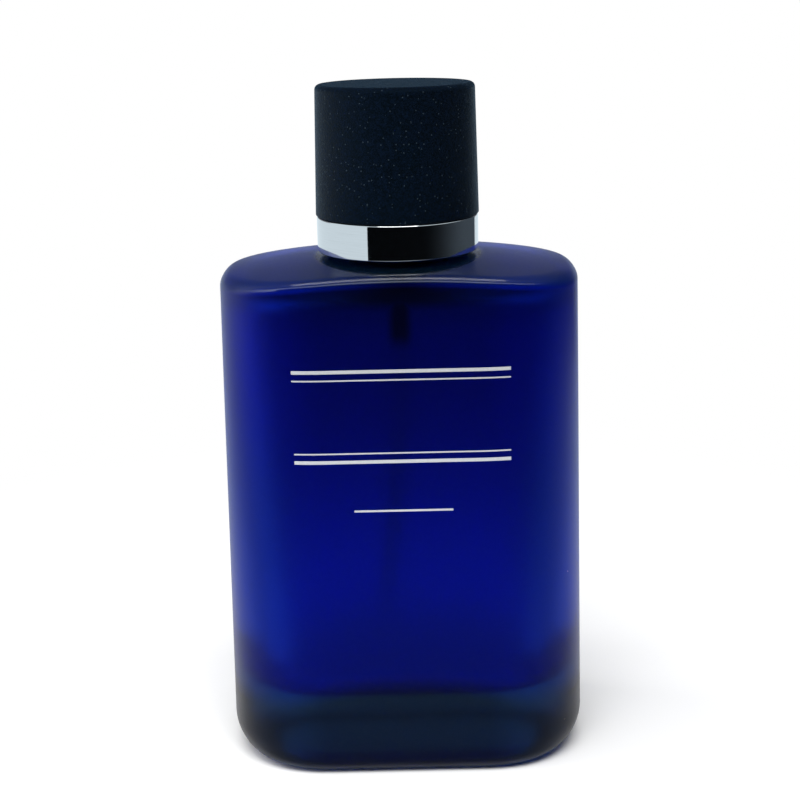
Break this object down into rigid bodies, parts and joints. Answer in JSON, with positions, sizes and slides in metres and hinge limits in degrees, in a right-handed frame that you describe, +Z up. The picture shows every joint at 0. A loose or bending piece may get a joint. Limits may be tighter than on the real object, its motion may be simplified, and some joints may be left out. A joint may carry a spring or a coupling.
{
  "type": "spray flask",
  "caption": "Frosted glass spray flask with a crimped fine-mist pump, polished collar ring and matt lift-off cap, built as separate working pieces.",
  "frame": {"origin": "middle of the flat ring that the flask stands on", "axes": "+Z up along the neck, +X along the wide side of the flask, -Y towards the nozzle and the front face"},
  "size_m": [0.0652, 0.036, 0.1217],
  "materials": {
    "frosted_glass": "acid-frosted, deep blue",
    "gasket_rubber": "matt",
    "ferrule_aluminium": "satin, drawn",
    "pump_plastic": "natural, semi-gloss",
    "ball_steel": "polished",
    "tube_plastic": "milky, flexible",
    "spring_steel": "drawn wire",
    "stem_plastic": "hard, semi-gloss",
    "collar_chrome": "mirror polished",
    "black_plastic": "moulded",
    "button_plastic": "moulded, satin",
    "sleeve_aluminium": "bright anodised",
    "nozzle_plastic": "gloss",
    "cap_matte": "soft-touch, finely grained",
    "weight_steel": "blanked, plain"
  },
  "bodies": {
    "flask": {"bottle_glass": "frosted_glass", "neck_gasket": "gasket_rubber", "crimp_ferrule": "ferrule_aluminium", "pump_housing": "pump_plastic", "pump_turret": "pump_plastic", "stem_gasket": "gasket_rubber", "dip_tube": "tube_plastic", "return_spring": "spring_steel", "collar_insert": "black_plastic", "collar_ring": "collar_chrome"},
    "ball": {"inlet_ball": "ball_steel"},
    "stem": {"pump_stem": "stem_plastic", "valve_needle": "stem_plastic", "stem_spring": "spring_steel"},
    "piston": {"pump_piston": "pump_plastic"},
    "button": {"actuator": "button_plastic", "actuator_sleeve": "sleeve_aluminium", "nozzle_insert": "nozzle_plastic"},
    "cap": {"cap_shell": "cap_matte", "cap_liner": "black_plastic", "cap_weight": "weight_steel"}
  },
  "joints": [
    {"name": "cap_lift", "type": "slide", "parent": "flask", "child": "cap", "axis": [0, 0, 1], "range_m": [0, 0.04]},
    {"name": "pump_stroke", "type": "slide", "parent": "flask", "child": "stem", "axis": [0, 0, -1], "range_m": [0, 0.0034], "stiffness_N_per_m": 500, "deforming": ["return_spring"]},
    {"name": "port_opening", "type": "slide", "parent": "stem", "child": "piston", "axis": [0, 0, 1], "range_m": [0, 0.0004], "stiffness_N_per_m": 300, "deforming": ["stem_spring"]},
    {"name": "actuator_turn", "type": "hinge", "parent": "stem", "child": "button", "pos_m": [0, 0, 0.1055], "axis": [0, 0, 1], "continuous": true},
    {"name": "ball_lift", "type": "slide", "parent": "flask", "child": "ball", "axis": [0, 0, 1], "range_m": [0, 0.0007]}
  ]
}
